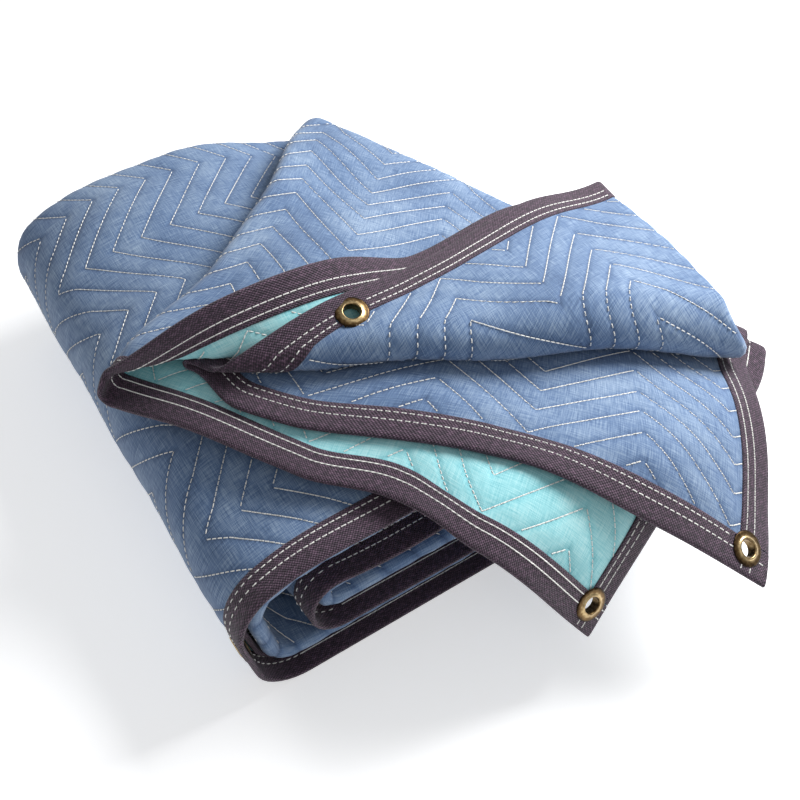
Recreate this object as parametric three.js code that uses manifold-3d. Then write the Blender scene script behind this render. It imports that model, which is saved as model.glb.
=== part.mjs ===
// Sound dampening blanket: one quilted sheet with a bound edge and brass eyelets.
// It is folded in four lengthwise, its far end is rolled up underneath, and the near
// end lies on top with one corner turned back and two corners hanging down.
// Millimetres, +Z up, standing on Z = 0.
import * as THREE from 'three';
import { mergeVertices } from 'three/addons/utils/BufferGeometryUtils.js';
import Module from 'manifold-3d';

const wasm = await Module();
wasm.setup();

// Sizes of the blanket as it is cut and sewn
const BLANKET_WIDTH = 1830;
const BLANKET_LENGTH = 2030;
const CLOTH = 2.45;
const CLOTH_IN_BINDING = 0.6;
const PUFF = 0.35;
const CLEARANCE = 0.3;
const TAPE_CLEARANCE = 0.85;
const TAPE_WIDTH = 25;
const TAPE = 0.8;
const BINDING_TAPER = 38;
const EYELET = { hole: 6.5, barrel: 7.6, flange: 13.5, brass: 1, inset: 18.5, cut: 8.2, seat: 3.1 };
const EYELET_SIDES = 12;

// The folded strip: four layers, a pitch apart, and where its folds and edges lie across it
const LAYER_PITCH = 6.7;
const OUTER_FOLD = 1.5 * LAYER_PITCH;
const TIGHT_FOLD = 0.5 * LAYER_PITCH;
const STRIP_WIDTH = 480;
const SETBACK = { firstEdge: -58, innerFold: 36, lastEdge: 26 };
const ACROSS = {
  lip: { firstEdge: 428, innerFold: 50, lastEdge: 512 },
  roll: { firstEdge: STRIP_WIDTH, innerFold: 30, lastEdge: 440 },
};

// How the strip lies on the floor: headings in degrees, places in the floor plane
const UPPER_HEADING = 72.2;
const OUTER_TIP = { x: -224, y: -60 };
const CREASE = { left: 442, right: 272 };
const UPPER_GAP = 33;
const LIP_FADE = { from: 0.1, to: 0.85 };
const DRAWN_FOLD = { depth: 30, grows: 140, ends: [-200, -30] };
const DRAWN_FLAP = { depth: 30, from: OUTER_FOLD, to: 50 };

// The roll: a row for each stretch, with its turn in degrees and its radius, or its length
const ROLL_START = 637;
const ROLL = [
  { name: 'shoulder', turn: 21, radius: 312, steps: 1 },
  { name: 'left turn, upper part', turn: 80, radius: 31, steps: 3 },
  { name: 'flat at the side eyelet', length: 36, steps: 1 },
  { name: 'left turn, lower part', turn: 79, radius: 31, steps: 3 },
  { name: 'bottom run', length: 353, steps: 1 },
  { name: 'right turn', turn: 180, radius: 36, steps: 3 },
  { name: 'inner top run', length: 318, steps: 1 },
  { name: 'inner left turn', turn: 180, radius: 18, steps: 3 },
  { name: 'inner bottom run', rest: true, steps: 1 },
];
const BACK = { reach: 1.2, rise: 0.25, riseEnds: [-60, 110], sink: 0.24, sinkGrows: [70, 250] };

// The top end: the corner turned back, and the two corners that hang over the roll's end
const PEEL = {
  tip: 2, angle: 23.5, radius: 7.6, tight: 180, growth: 0.035, tipTurn: 70, turn: 176.5, reach: 230,
  part: 1.9, lead: 6, foldShare: 0.3,
};
const DROOP = { start: [278, 292], radius: 85, turn: [66, 34], fade: [0.3, 0.9] };
const SAG = { from: -118, radius: 312 };

const COLOURS = { blue: 0x5b7fae, aqua: 0x7fd3dc, binding: 0x40384a, brass: 0x8a7448 };

const rad = THREE.MathUtils.degToRad;
const lerp = THREE.MathUtils.lerp;
const smooth = THREE.MathUtils.smoothstep;
const clamp = THREE.MathUtils.clamp;
const heading = (degrees) => new THREE.Vector2(Math.cos(rad(degrees)), Math.sin(rad(degrees)));

// Stretches of the folded section, from the first long edge to the last one
const ridgePlace = (places) => {
  const arcs = Math.PI * (OUTER_FOLD + 2 * TIGHT_FOLD) - 2 * OUTER_FOLD - 4 * TIGHT_FOLD;
  return (BLANKET_WIDTH - arcs - places.firstEdge - places.lastEdge + 2 * places.innerFold) / 2;
};
for (const places of Object.values(ACROSS)) {
  places.ridge = ridgePlace(places);
}
const stretchLengths = (() => {
  const roll = ACROSS.roll;
  return [
    roll.firstEdge - OUTER_FOLD,
    Math.PI * OUTER_FOLD,
    roll.ridge - TIGHT_FOLD - OUTER_FOLD,
    Math.PI * TIGHT_FOLD,
    roll.ridge - roll.innerFold - 2 * TIGHT_FOLD,
    Math.PI * TIGHT_FOLD,
    roll.lastEdge - roll.innerFold - TIGHT_FOLD,
  ];
})();
const total = (lengths) => lengths.reduce((sum, length) => sum + length, 0);
const stretchStarts = stretchLengths.map((length, k) => total(stretchLengths.slice(0, k)));

// Which stretch of the section a distance from the first edge falls in
function stretchAt(u) {
  const k = Math.max(stretchStarts.findLastIndex((start) => start < u), 0);
  return { k, f: (u - stretchStarts[k]) / stretchLengths[k] };
}

// Place across the strip, height in its stack and setback of one point of the section,
// with the share of the turned-back corner and of the hanging corners that it takes
function sectionPoint({ k, f }, blend) {
  const { lip, roll } = ACROSS;
  const mix = (key) => lerp(lip[key], roll[key], blend);
  const half = Math.PI * f;
  const ridge = mix('ridge') - TIGHT_FOLD;
  const nest = mix('innerFold') + TIGHT_FOLD;
  switch (k) {
    case 0:
      return {
        q: lerp(mix('firstEdge'), OUTER_FOLD, f), n: -OUTER_FOLD,
        set: lerp(SETBACK.firstEdge, 0, f), peel: 0, hang: 0,
      };
    case 1:
      return {
        q: OUTER_FOLD * (1 - Math.sin(half)), n: -OUTER_FOLD * Math.cos(half),
        set: 0, peel: smooth(f, PEEL.foldShare, 1), hang: 0,
      };
    case 2:
      return { q: lerp(OUTER_FOLD, ridge, f), n: OUTER_FOLD, set: 0, peel: 1 };
    case 3:
      return {
        q: ridge + TIGHT_FOLD * Math.sin(half), n: LAYER_PITCH + TIGHT_FOLD * Math.cos(half),
        set: 0, peel: 1,
      };
    case 4:
      return { q: lerp(ridge, nest, f), n: TIGHT_FOLD, set: lerp(0, SETBACK.innerFold, f), peel: 1 };
    case 5:
      return {
        q: nest - TIGHT_FOLD * Math.sin(half), n: TIGHT_FOLD * Math.cos(half),
        set: SETBACK.innerFold, peel: 1 - smooth(f, 0, 1), hang: 1,
      };
    default:
      return {
        q: lerp(nest, mix('lastEdge'), f), n: -TIGHT_FOLD,
        set: lerp(SETBACK.innerFold, SETBACK.lastEdge, f), peel: 0, hang: 1,
      };
  }
}

// A flat layer bent round an axis: distance forward and rise for a point past the start
function bend(distance, radius, offset, most) {
  const angle = Math.min(distance / radius, most);
  const rest = distance - angle * radius;
  return {
    forward: (radius - offset) * Math.sin(angle) + rest * Math.cos(angle),
    rise: radius - (radius - offset) * Math.cos(angle) + rest * Math.sin(angle),
  };
}

// The upper corner turned back over itself, its roll growing away from the tip
const peelRadius = (along) => PEEL.radius + PEEL.growth * Math.max(along - PEEL.tight, 0);
const peelTurn = (along) => rad(lerp(PEEL.tipTurn, PEEL.turn, smooth(along, 0, PEEL.reach)));
function peelBack(point, share) {
  const cos = Math.cos(rad(PEEL.angle));
  const sin = Math.sin(rad(PEEL.angle));
  const along = (point.q - PEEL.tip) * cos + point.v * sin;
  const off = (point.q - PEEL.tip) * sin - point.v * cos;
  const radius = peelRadius(along);
  const turn = peelTurn(along);
  const ahead = PEEL.lead * smooth(point.n, LAYER_PITCH - TIGHT_FOLD, LAYER_PITCH + TIGHT_FOLD);
  const start = -0.5 * turn * radius - ahead;
  if (off <= start || share === 0) {
    return point;
  }
  const opening = smooth(along, 0, PEEL.reach) * smooth(off - start, 0, turn * radius);
  const parting = lerp(1, PEEL.part, opening);
  const turned = bend(off - start, radius, parting * (point.n - LAYER_PITCH), turn);
  const shift = share * (start + turned.forward - off);
  return {
    q: point.q + shift * sin,
    v: point.v - shift * cos,
    n: lerp(point.n, LAYER_PITCH + turned.rise, share),
    lifted: true,
  };
}

const upperAlong = heading(UPPER_HEADING);
const upperAcross = heading(UPPER_HEADING - 90);
const creaseSlope = THREE.MathUtils.radToDeg(Math.atan((CREASE.left - CREASE.right) / STRIP_WIDTH));
const ROLL_HEADING = UPPER_HEADING - 2 * creaseSlope;
const rollAlong = heading(ROLL_HEADING);
const rollAcross = heading(ROLL_HEADING - 90);
const creaseAt = (q) => lerp(CREASE.left, CREASE.right, q / STRIP_WIDTH);
const creaseNormal = new THREE.Vector2(CREASE.left - CREASE.right, STRIP_WIDTH).normalize();

// A lower corner that hangs down past the end of the roll under it
function hangDown(point, layer, fade) {
  const angle = rad(90 - (UPPER_HEADING - ROLL_HEADING));
  const off = (point.q - DROOP.start[layer]) * Math.sin(angle) - point.v * Math.cos(angle);
  if (off <= 0) {
    return point;
  }
  const most = rad(DROOP.turn[layer]) * fade;
  const level = -LAYER_PITCH;
  const turned = bend(off, DROOP.radius, level - point.n, most);
  const shift = turned.forward - off;
  return {
    q: point.q + shift * Math.sin(angle),
    v: point.v - shift * Math.cos(angle),
    n: level - turned.rise,
  };
}

// Stretches of the roll, each from its start with its heading in the roll's upright plane
const rollPath = (() => {
  const stretches = [];
  const place = { l: 0, z: 0, angle: Math.PI };
  let start = ROLL_START;
  for (const row of ROLL) {
    const turn = rad(row.turn ?? 0);
    const length = row.rest ? BLANKET_LENGTH - start : row.length ?? row.radius * turn;
    stretches.push({ ...row, ...place, start, length, turn });
    const end = walk({ ...row, ...place, length, turn }, length);
    Object.assign(place, end);
    start += length;
  }
  return stretches;
})();

function walk(stretch, distance) {
  const angle = stretch.angle + (stretch.turn * distance) / stretch.length;
  if (stretch.turn === 0) {
    return {
      l: stretch.l + distance * Math.cos(stretch.angle),
      z: stretch.z + distance * Math.sin(stretch.angle),
      angle,
    };
  }
  const radius = stretch.length / stretch.turn;
  return {
    l: stretch.l + radius * (Math.sin(angle) - Math.sin(stretch.angle)),
    z: stretch.z - radius * (Math.cos(angle) - Math.cos(stretch.angle)),
    angle,
  };
}

function rollAt(v) {
  const ahead = rollPath.findLast((stretch) => stretch.start <= v) ?? rollPath[0];
  if (v < ROLL_START) {
    return { l: ROLL_START - v, z: 0, angle: Math.PI };
  }
  return walk(ahead, v - ahead.start);
}

const bottomRun = rollPath.find((stretch) => stretch.name === 'bottom run');
const FLOOR_LAYER = CLOTH + 0.5 * CLEARANCE;
const BOTTOM_LEVEL = FLOOR_LAYER + OUTER_FOLD;
const ROLL_TOP = BOTTOM_LEVEL - bottomRun.z;
const UPPER_LEVEL = ROLL_TOP + UPPER_GAP;
const creaseRadius = 0.5 * UPPER_GAP;

const upperPlace = (q, v) => new THREE.Vector2(OUTER_TIP.x, OUTER_TIP.y)
  .addScaledVector(upperAcross, q)
  .addScaledVector(upperAlong, v);
const creaseCorner = upperPlace(0, CREASE.left);
const rollFront = creaseCorner.dot(rollAcross) + STRIP_WIDTH;
const rollZero = creaseCorner.dot(rollAlong) + CREASE.left;

const pastCrease = ({ q, v }) => q * creaseNormal.x + (v - CREASE.left) * creaseNormal.y;

// The outer fold is drawn in behind its tip, and so is the far corner of the turned-back flap
function drawIn(point) {
  const { q, v, n } = point;
  const kept = 1 - smooth(pastCrease(point), ...DRAWN_FOLD.ends);
  const fold = DRAWN_FOLD.depth * smooth(v, 0, DRAWN_FOLD.grows) * kept * (1 - q / STRIP_WIDTH);
  const flap = DRAWN_FLAP.depth * smooth(n, DRAWN_FLAP.from, DRAWN_FLAP.to) * (q / STRIP_WIDTH);
  return { ...point, q: q + fold - flap };
}

// One point of the strip in space: on top, round the crease behind, or in the roll
function stripPlace(point) {
  const { q, v, n } = point;
  const past = point.lifted ? -Infinity : pastCrease(point);
  const quarter = 0.5 * Math.PI * creaseRadius;
  let floor;
  let middle = UPPER_LEVEL;
  let z = n;
  if (past < quarter) {
    const turned = Math.max(past + quarter, 0);
    const angle = turned / creaseRadius;
    const reach = (creaseRadius + n) * Math.sin(angle) - turned;
    floor = upperPlace(q + reach * creaseNormal.x, v + reach * creaseNormal.y);
    z = n * Math.cos(angle) - creaseRadius * (1 - Math.cos(angle));
    const low = Math.max(SAG.from - floor.dot(rollAlong), 0);
    z -= (low * low) / (2 * SAG.radius);
  } else {
    const path = rollAt(v);
    const along = rollZero - ROLL_START + path.l - n * Math.sin(path.angle);
    floor = rollAlong.clone().multiplyScalar(along)
      .addScaledVector(rollAcross, rollFront - STRIP_WIDTH + q);
    middle = ROLL_TOP + path.z;
    z = n * Math.cos(path.angle);
  }
  const behind = clamp((rollFront - floor.dot(rollAcross)) / STRIP_WIDTH, 0, BACK.reach);
  const along = floor.dot(rollAlong);
  const rise = BACK.rise * behind * (1 - smooth(along, ...BACK.riseEnds))
    - BACK.sink * smooth(along, ...BACK.sinkGrows);
  const height = Math.min(middle, ROLL_TOP) - BOTTOM_LEVEL;
  return new THREE.Vector3(floor.x, floor.y, middle + height * rise + z);
}

// Middle of the quilted sheet: u from the first long edge, on a line across the strip
function sheetPoint(u, line, shift = 0) {
  const stretch = stretchAt(u);
  let placed = sectionPoint(stretch, 1);
  let share = 0;
  let v = 0;
  for (let pass = 0; pass < 3; pass += 1) {
    v = line(placed.q, placed.set) + shift;
    share = v / creaseAt(placed.q);
    placed = sectionPoint(stretch, smooth(share, LIP_FADE.from, LIP_FADE.to));
  }
  let point = { q: placed.q, v, n: placed.n };
  if (share < 1) {
    point = peelBack(point, placed.peel);
    if (placed.hang !== undefined) {
      point = hangDown(point, placed.hang, 1 - smooth(share, ...DROOP.fade));
    }
  }
  return stripPlace(drawIn(point));
}

// Normal on the blue side
function sheetNormal(u, line, shift = 0) {
  const step = 0.4;
  const acrossSheet = sheetPoint(u + step, line, shift).sub(sheetPoint(u - step, line, shift));
  const alongSheet = sheetPoint(u, line, shift + step).sub(sheetPoint(u, line, shift - step));
  return acrossSheet.cross(alongSheet).normalize();
}

// Stations across the sheet and lines along it, closer where it turns
const EDGE_LINES = [0, TAPE_WIDTH];
const NEAR_LINES = [0, 0.5 * TAPE_WIDTH, TAPE_WIDTH];
const TURNED_PLACES = [38, 66, 104, 146, 176, 246, 322, 404];
const HANGING_PLACES = [392, 352, 314, 274, 150];
const OUTER_STEPS = 3;
const TIGHT_STEPS = 2;
const stations = (() => {
  const evenly = (k, steps) => Array.from(
    { length: steps },
    (unused, step) => stretchStarts[k] + (stretchLengths[k] * (step + 1)) / steps,
  );
  const outward = TURNED_PLACES.map((q) => stretchStarts[2] + q - OUTER_FOLD);
  const ridge = ACROSS.roll.ridge - TIGHT_FOLD;
  const inward = TURNED_PLACES.toReversed().map((q) => stretchStarts[4] + ridge - q);
  return [
    ...EDGE_LINES,
    BINDING_TAPER,
    ...HANGING_PLACES.map((q) => ACROSS.roll.firstEdge - q),
    stretchStarts[1],
    ...evenly(1, OUTER_STEPS),
    ...outward,
    stretchStarts[3],
    ...evenly(3, TIGHT_STEPS),
    ...inward,
    stretchStarts[5],
    ...evenly(5, TIGHT_STEPS),
    ...HANGING_PLACES.toReversed().map((q) => stretchStarts[6] + q - ACROSS.roll.innerFold - TIGHT_FOLD),
    BLANKET_WIDTH - BINDING_TAPER,
    ...EDGE_LINES.toReversed().map((inset) => BLANKET_WIDTH - inset),
  ];
})();
// Layers that run back towards the fold have their facets cut the other way
const runsBack = (i) => [0, 4].includes(stretchAt(0.5 * (stations[i] + stations[i + 1])).k);

const straight = (left, right = left) => (q) => lerp(left, right, q / STRIP_WIDTH);
const nearEnd = (inset) => (q, setback) => inset + setback;
const PEEL_SHARES = [0.52, 0.27, 0, -0.26, -0.51];
const CROWD = 1.2;
const peelLine = (share, index) => (q, setback) => {
  const along = Math.max(q - PEEL.tip, 0);
  const arc = peelTurn(along) * peelRadius(along);
  const v = along * Math.tan(rad(PEEL.angle)) - (share * arc) / Math.cos(rad(PEEL.angle));
  return Math.max(v, BINDING_TAPER + setback + CROWD * (index + 1));
};

const lines = (() => {
  const list = [];
  const spread = (from, to, steps) => {
    for (let step = 1; step <= steps; step += 1) {
      list.push(straight(lerp(from.left, to.left, step / steps), lerp(from.right, to.right, step / steps)));
    }
  };
  list.push(...NEAR_LINES.map((inset) => nearEnd(inset)));
  const taper = nearEnd(BINDING_TAPER);
  const firstPeel = peelLine(PEEL_SHARES[0], 0);
  list.push(taper, (q, setback) => lerp(taper(q, setback), firstPeel(q, setback), 0.5));
  PEEL_SHARES.forEach((share, index) => list.push(peelLine(share, index)));
  const turn = (0.5 * Math.PI * creaseRadius) / creaseNormal.y;
  const before = { left: CREASE.left - turn, right: CREASE.right - turn };
  const after = { left: CREASE.left + turn, right: CREASE.right + turn };
  const lastPeel = list.at(-1);
  const toCrease = straight(before.left, before.right);
  list.push((q, setback) => lerp(lastPeel(q, setback), toCrease(q), 0.5), toCrease);
  spread(before, after, 3);
  spread(after, { left: ROLL_START, right: ROLL_START }, 2);
  for (const stretch of rollPath) {
    const end = stretch.start + stretch.length - (stretch.rest ? BINDING_TAPER : 0);
    spread({ left: stretch.start, right: stretch.start }, { left: end, right: end }, stretch.steps);
  }
  list.push(...EDGE_LINES.toReversed().map((inset) => straight(BLANKET_LENGTH - inset)));
  return list;
})();

// Thickness of one cloth: squeezed in the binding, puffed on every other line
function clothThickness(u, line, index) {
  const v = line(0, 0);
  const edge = Math.min(u, BLANKET_WIDTH - u, v, BLANKET_LENGTH - v);
  if (edge <= TAPE_WIDTH) {
    return CLOTH_IN_BINDING;
  }
  const onTop = v > BINDING_TAPER && v < CREASE.left;
  return CLOTH - (onTop && index % 2 === 1 ? PUFF : 0);
}

const meshFrom = (vertices, triangles) => {
  const places = new Float32Array(vertices.flatMap((vertex) => vertex.toArray()));
  const geometry = new THREE.BufferGeometry();
  geometry.setAttribute('position', new THREE.BufferAttribute(places, 3));
  geometry.setIndex(triangles);
  return geometry;
};

// Signed volume, to turn a mesh the right way out
function signedVolume(vertices, triangles) {
  let sum = 0;
  for (let t = 0; t < triangles.length; t += 3) {
    const [a, b, c] = [0, 1, 2].map((corner) => vertices[triangles[t + corner]]);
    sum += a.dot(b.clone().cross(c)) / 6;
  }
  return sum;
}

function facingOut(vertices, triangles) {
  if (signedVolume(vertices, triangles) < 0) {
    for (let t = 0; t < triangles.length; t += 3) {
      [triangles[t], triangles[t + 1]] = [triangles[t + 1], triangles[t]];
    }
  }
  return meshFrom(vertices, triangles);
}

// One cloth of the quilted sheet: a closed skin between its inner and outer face
function clothGeometry(side) {
  const rows = lines.length;
  const vertices = [];
  const triangles = [];
  for (const face of ['inner', 'outer']) {
    for (const u of stations) {
      lines.forEach((line, index) => {
        const thick = face === 'outer' ? clothThickness(u, line, index) : 0;
        const offset = side * (0.5 * CLEARANCE + thick);
        vertices.push(sheetPoint(u, line).addScaledVector(sheetNormal(u, line), offset));
      });
    }
  }
  const outer = stations.length * rows;
  const at = (i, j) => i * rows + j;
  const quad = (a, b, c, d) => triangles.push(a, b, c, a, c, d);
  const lastI = stations.length - 1;
  const lastJ = rows - 1;
  for (let i = 0; i < lastI; i += 1) {
    for (let j = 0; j < lastJ; j += 1) {
      const corner = [at(i, j), at(i + 1, j), at(i + 1, j + 1), at(i, j + 1)];
      const [a, b, c, d] = runsBack(i) ? [...corner.slice(1), corner[0]] : corner;
      quad(a + outer, b + outer, c + outer, d + outer);
      quad(a, d, c, b);
    }
    quad(at(i, 0), at(i + 1, 0), at(i + 1, 0) + outer, at(i, 0) + outer);
    quad(at(i + 1, lastJ), at(i, lastJ), at(i, lastJ) + outer, at(i + 1, lastJ) + outer);
  }
  for (let j = 0; j < lastJ; j += 1) {
    quad(at(0, j + 1), at(0, j), at(0, j) + outer, at(0, j + 1) + outer);
    quad(at(lastI, j), at(lastI, j + 1), at(lastI, j + 1) + outer, at(lastI, j) + outer);
  }
  return facingOut(vertices, triangles);
}

// Folded tape over one edge: a channel whose two legs hold the sheet, with the facets of
// the sheet. Insets are the sheet's own lines, and cutsBack says how a facet is halved.
function tapeGeometry({ count, insets, pointAt, cutsBack }) {
  const inside = 0.5 * CLEARANCE + CLOTH_IN_BINDING + TAPE_CLEARANCE;
  const outside = inside + TAPE;
  const leg = (edge, offset) => insets.map((inset, index) => [index === 0 ? edge : inset, offset]);
  const ring = [
    ...leg(-CLEARANCE - TAPE, outside),
    ...leg(-CLEARANCE, inside).toReversed(),
    ...leg(-CLEARANCE, -inside),
    ...leg(-CLEARANCE - TAPE, -outside).toReversed(),
  ];
  const size = ring.length;
  const vertices = [];
  const triangles = [];
  for (let i = 0; i < count; i += 1) {
    ring.forEach(([inset, offset]) => vertices.push(pointAt(i, inset, offset)));
  }
  for (let i = 0; i + 1 < count; i += 1) {
    for (let r = 0; r < size; r += 1) {
      const next = (r + 1) % size;
      const [a, b, c, d] = [i * size + r, (i + 1) * size + r, (i + 1) * size + next, i * size + next];
      const inwards = ring[r][0] < ring[next][0];
      if (inwards !== cutsBack(i)) {
        triangles.push(a, b, c, a, c, d);
      } else {
        triangles.push(a, b, d, b, c, d);
      }
    }
  }
  const half = insets.length;
  const caps = [[0, 2 * half - 1, 2 * half, size - 1]];
  for (let r = 0; r + 1 < half; r += 1) {
    caps.push([r, r + 1, 2 * half - 2 - r, 2 * half - 1 - r]);
    caps.push([2 * half + r, 2 * half + r + 1, size - 2 - r, size - 1 - r]);
  }
  const end = (count - 1) * size;
  for (const [a, b, c, d] of caps) {
    triangles.push(a, b, c, a, c, d);
    triangles.push(end + a, end + c, end + b, end + a, end + d, end + c);
  }
  return facingOut(vertices, triangles);
}

const offsetPoint = (u, line, shift, offset) => sheetPoint(u, line, shift)
  .addScaledVector(sheetNormal(u, line, shift), offset);

// Tapes on the two ends run the full width, and the side tapes butt against them
const endTape = (edge, insets, inward) => tapeGeometry({
  count: stations.length,
  insets,
  pointAt: (i, inset, offset) => offsetPoint(stations[i], edge, inward * inset, offset),
  cutsBack: (i) => runsBack(i) !== inward < 0,
});
const BUTT_GAP = 1.4 * CLEARANCE;
const sideLines = (() => {
  const butt = TAPE_WIDTH + BUTT_GAP;
  const between = lines.slice(NEAR_LINES.length, -EDGE_LINES.length);
  return [nearEnd(butt), ...between, straight(BLANKET_LENGTH - butt)];
})();
const sideTape = (edge, inward) => tapeGeometry({
  count: sideLines.length,
  insets: EDGE_LINES,
  pointAt: (j, inset, offset) => offsetPoint(edge + inward * inset, sideLines[j], 0, offset),
  cutsBack: () => true,
});

// Boolean cuts
const WELD = 1e-4;
function solidOf(geometry) {
  const merged = geometry.clone();
  merged.deleteAttribute('normal');
  merged.deleteAttribute('uv');
  const welded = mergeVertices(merged, WELD);
  return new wasm.Manifold(new wasm.Mesh({
    numProp: 3,
    vertProperties: new Float32Array(welded.attributes.position.array),
    triVerts: new Uint32Array(welded.index.array),
  }));
}

function geometryOf(solid) {
  const mesh = solid.getMesh();
  const geometry = new THREE.BufferGeometry();
  geometry.setAttribute('position', new THREE.BufferAttribute(new Float32Array(mesh.vertProperties), 3));
  geometry.setIndex(new THREE.BufferAttribute(new Uint32Array(mesh.triVerts), 1));
  return geometry;
}

// Eyelets: the two corners of the near end, one on its inner lip, one on the roll's side
const sideFlat = rollPath.find((stretch) => stretch.name === 'flat at the side eyelet');
const LIP_EYELET_FROM_TIP = 127;
const EYELETS = [
  { name: 'eyelet_first_corner', u: EYELET.inset, line: nearEnd(EYELET.inset) },
  { name: 'eyelet_last_corner', u: BLANKET_WIDTH - EYELET.inset, line: nearEnd(EYELET.inset) },
  { name: 'eyelet_inner_lip', u: stretchStarts[5] - LIP_EYELET_FROM_TIP, line: nearEnd(EYELET.inset) },
  { name: 'eyelet_roll_side', u: EYELET.inset, line: straight(sideFlat.start + 0.5 * sideFlat.length) },
];

// Local frame of an eyelet: its Y axis along the sheet's normal
function eyeletMatrix({ u, line }) {
  const turn = new THREE.Quaternion().setFromUnitVectors(new THREE.Vector3(0, 1, 0), sheetNormal(u, line));
  return new THREE.Matrix4().compose(sheetPoint(u, line), turn, new THREE.Vector3(1, 1, 1));
}

function eyeletGeometry() {
  const { hole, barrel, flange, brass, seat } = EYELET;
  const profile = [
    [hole, -seat - brass], [flange, -seat - brass], [flange, -seat], [barrel, -seat],
    [barrel, seat], [flange, seat], [flange, seat + brass], [hole, seat + brass], [hole, -seat - brass],
  ].map(([radius, height]) => new THREE.Vector2(radius, height));
  return new THREE.LatheGeometry(profile, EYELET_SIDES);
}

function withEyeletHoles(geometry, eyelets) {
  let solid = solidOf(geometry);
  for (const eyelet of eyelets) {
    const punch = new THREE.CylinderGeometry(EYELET.cut, EYELET.cut, 3 * EYELET.seat, EYELET_SIDES);
    solid = solid.subtract(solidOf(punch.applyMatrix4(eyeletMatrix(eyelet))));
  }
  return solid;
}

const clothFinish = (color) => new THREE.MeshStandardMaterial({ color, roughness: 0.9, metalness: 0 });
const brassFinish = new THREE.MeshStandardMaterial({ color: COLOURS.brass, roughness: 0.35, metalness: 1 });

// Pieces in the order in which they press into each other
const [firstCorner, lastCorner, innerLip, rollSide] = EYELETS;
const brass = EYELETS.map((eyelet) => solidOf(eyeletGeometry().applyMatrix4(eyeletMatrix(eyelet))));
const nearTape = withEyeletHoles(
  endTape(nearEnd(0), NEAR_LINES, 1),
  [firstCorner, lastCorner, innerLip],
);
const farTape = solidOf(endTape(straight(BLANKET_LENGTH), EDGE_LINES, -1));
const firstTape = withEyeletHoles(sideTape(0, 1), [firstCorner, rollSide]);
const lastTape = withEyeletHoles(sideTape(BLANKET_WIDTH, -1), [lastCorner]);
const blueFace = withEyeletHoles(clothGeometry(1), EYELETS);
const aquaBack = withEyeletHoles(clothGeometry(-1), EYELETS);

const blanket = new THREE.Group();
const fitted = [];
const larger = (one, other) => (one.volume() > other.volume() ? one : other);
const add = (name, solid, material) => {
  const trimmed = fitted.reduce((left, piece) => left.subtract(piece), solid).decompose().reduce(larger);
  fitted.push(trimmed);
  const mesh = new THREE.Mesh(geometryOf(trimmed), material);
  mesh.name = name;
  blanket.add(mesh);
};
EYELETS.forEach((eyelet, index) => add(eyelet.name, brass[index], brassFinish));
const binding = clothFinish(COLOURS.binding);
add('binding_near_end', nearTape, binding);
add('blue_face', blueFace, clothFinish(COLOURS.blue));
add('aqua_back', aquaBack, clothFinish(COLOURS.aqua));
add('binding_far_end', farTape, binding);
add('binding_first_side', firstTape, binding);
add('binding_last_side', lastTape, binding);

// Origin at the middle of the underside
const box = new THREE.Box3().setFromObject(blanket, true);
const middle = box.getCenter(new THREE.Vector3());
blanket.position.set(-middle.x, -middle.y, -box.min.z);

export default blanket;
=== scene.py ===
import math

import bpy
import numpy as np
from mathutils import Matrix, Vector


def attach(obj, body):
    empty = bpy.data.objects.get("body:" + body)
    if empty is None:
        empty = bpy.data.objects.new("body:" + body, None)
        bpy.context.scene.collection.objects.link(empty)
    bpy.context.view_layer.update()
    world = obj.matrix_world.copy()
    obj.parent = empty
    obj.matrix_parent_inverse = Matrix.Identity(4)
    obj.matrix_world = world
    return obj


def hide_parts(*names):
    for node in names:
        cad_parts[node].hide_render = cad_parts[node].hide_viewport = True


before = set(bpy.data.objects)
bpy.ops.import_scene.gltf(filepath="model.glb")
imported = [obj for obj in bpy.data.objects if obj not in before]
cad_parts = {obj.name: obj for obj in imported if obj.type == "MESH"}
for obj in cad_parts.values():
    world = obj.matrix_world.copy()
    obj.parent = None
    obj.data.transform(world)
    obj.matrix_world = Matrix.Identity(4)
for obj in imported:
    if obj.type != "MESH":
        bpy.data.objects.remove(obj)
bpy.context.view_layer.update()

# Blue face: woven chambray cotton, quilted through to the back in zigzag rows that
# leave soft ridges between them. The blanket is folded in four lengthwise, its far end
# is rolled up underneath and its near end lies on top, so the whole lie starts here.

# Sizes are in millimetres: the flat sheet, the pitch of its layers, and the folded strip
WIDTH, LENGTH = 1830.0, 2030.0
PITCH = 6.7
OUTER_FOLD, TIGHT_FOLD = 1.5 * PITCH, 0.5 * PITCH
STRIP = 480.0
FLOOR_LAYER = 2.6
CENTRING = np.array([27.0, -94.9, 0.0])
# Both edges and the inner fold across the strip, at the near end and in the roll
LIP = {"first": 428.0, "fold": 50.0, "last": 512.0}
ROLLED = {"first": 480.0, "fold": 41.0, "last": 462.0}
LIP_TO_ROLL = (0.1, 0.85)
# How far the layers are set back at the near end, and the swing of its two lower lips
SETBACK = {"first": -58.0, "fold": 36.0, "last": 26.0}
SETBACK_ENDS = (25.0, 210.0)
LAST_LIP_OUT = {"depth": 22.0, "grows": (0.0, 0.12), "ends": (0.2, 0.5)}
FIRST_LIP_IN = {"depth": 15.0, "grows": (0.3, 0.45), "ends": (0.46, 0.62)}
# The part on top: its heading, its outer tip, and the slanting crease where it turns under
UPPER_HEADING = 72.2
OUTER_TIP = np.array([-224.0, -60.0])
CREASE = (442.0, 272.0)
UPPER_GAP = 33.0
# Drawn in: the outer fold behind its tip, the flap's far corner, the ridge behind the flap
DRAWN_FOLD = {"depth": 30.0, "grows": 140.0, "ends": (-200.0, -30.0)}
DRAWN_FLAP = {"depth": 30.0, "to": 50.0}
DRAWN_RIDGE = {"depth": 40.0, "across": (330.0, 476.0), "grows": (175.0, 250.0),
               "eases": (310.0, 430.0), "kept": 0.16}
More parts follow.
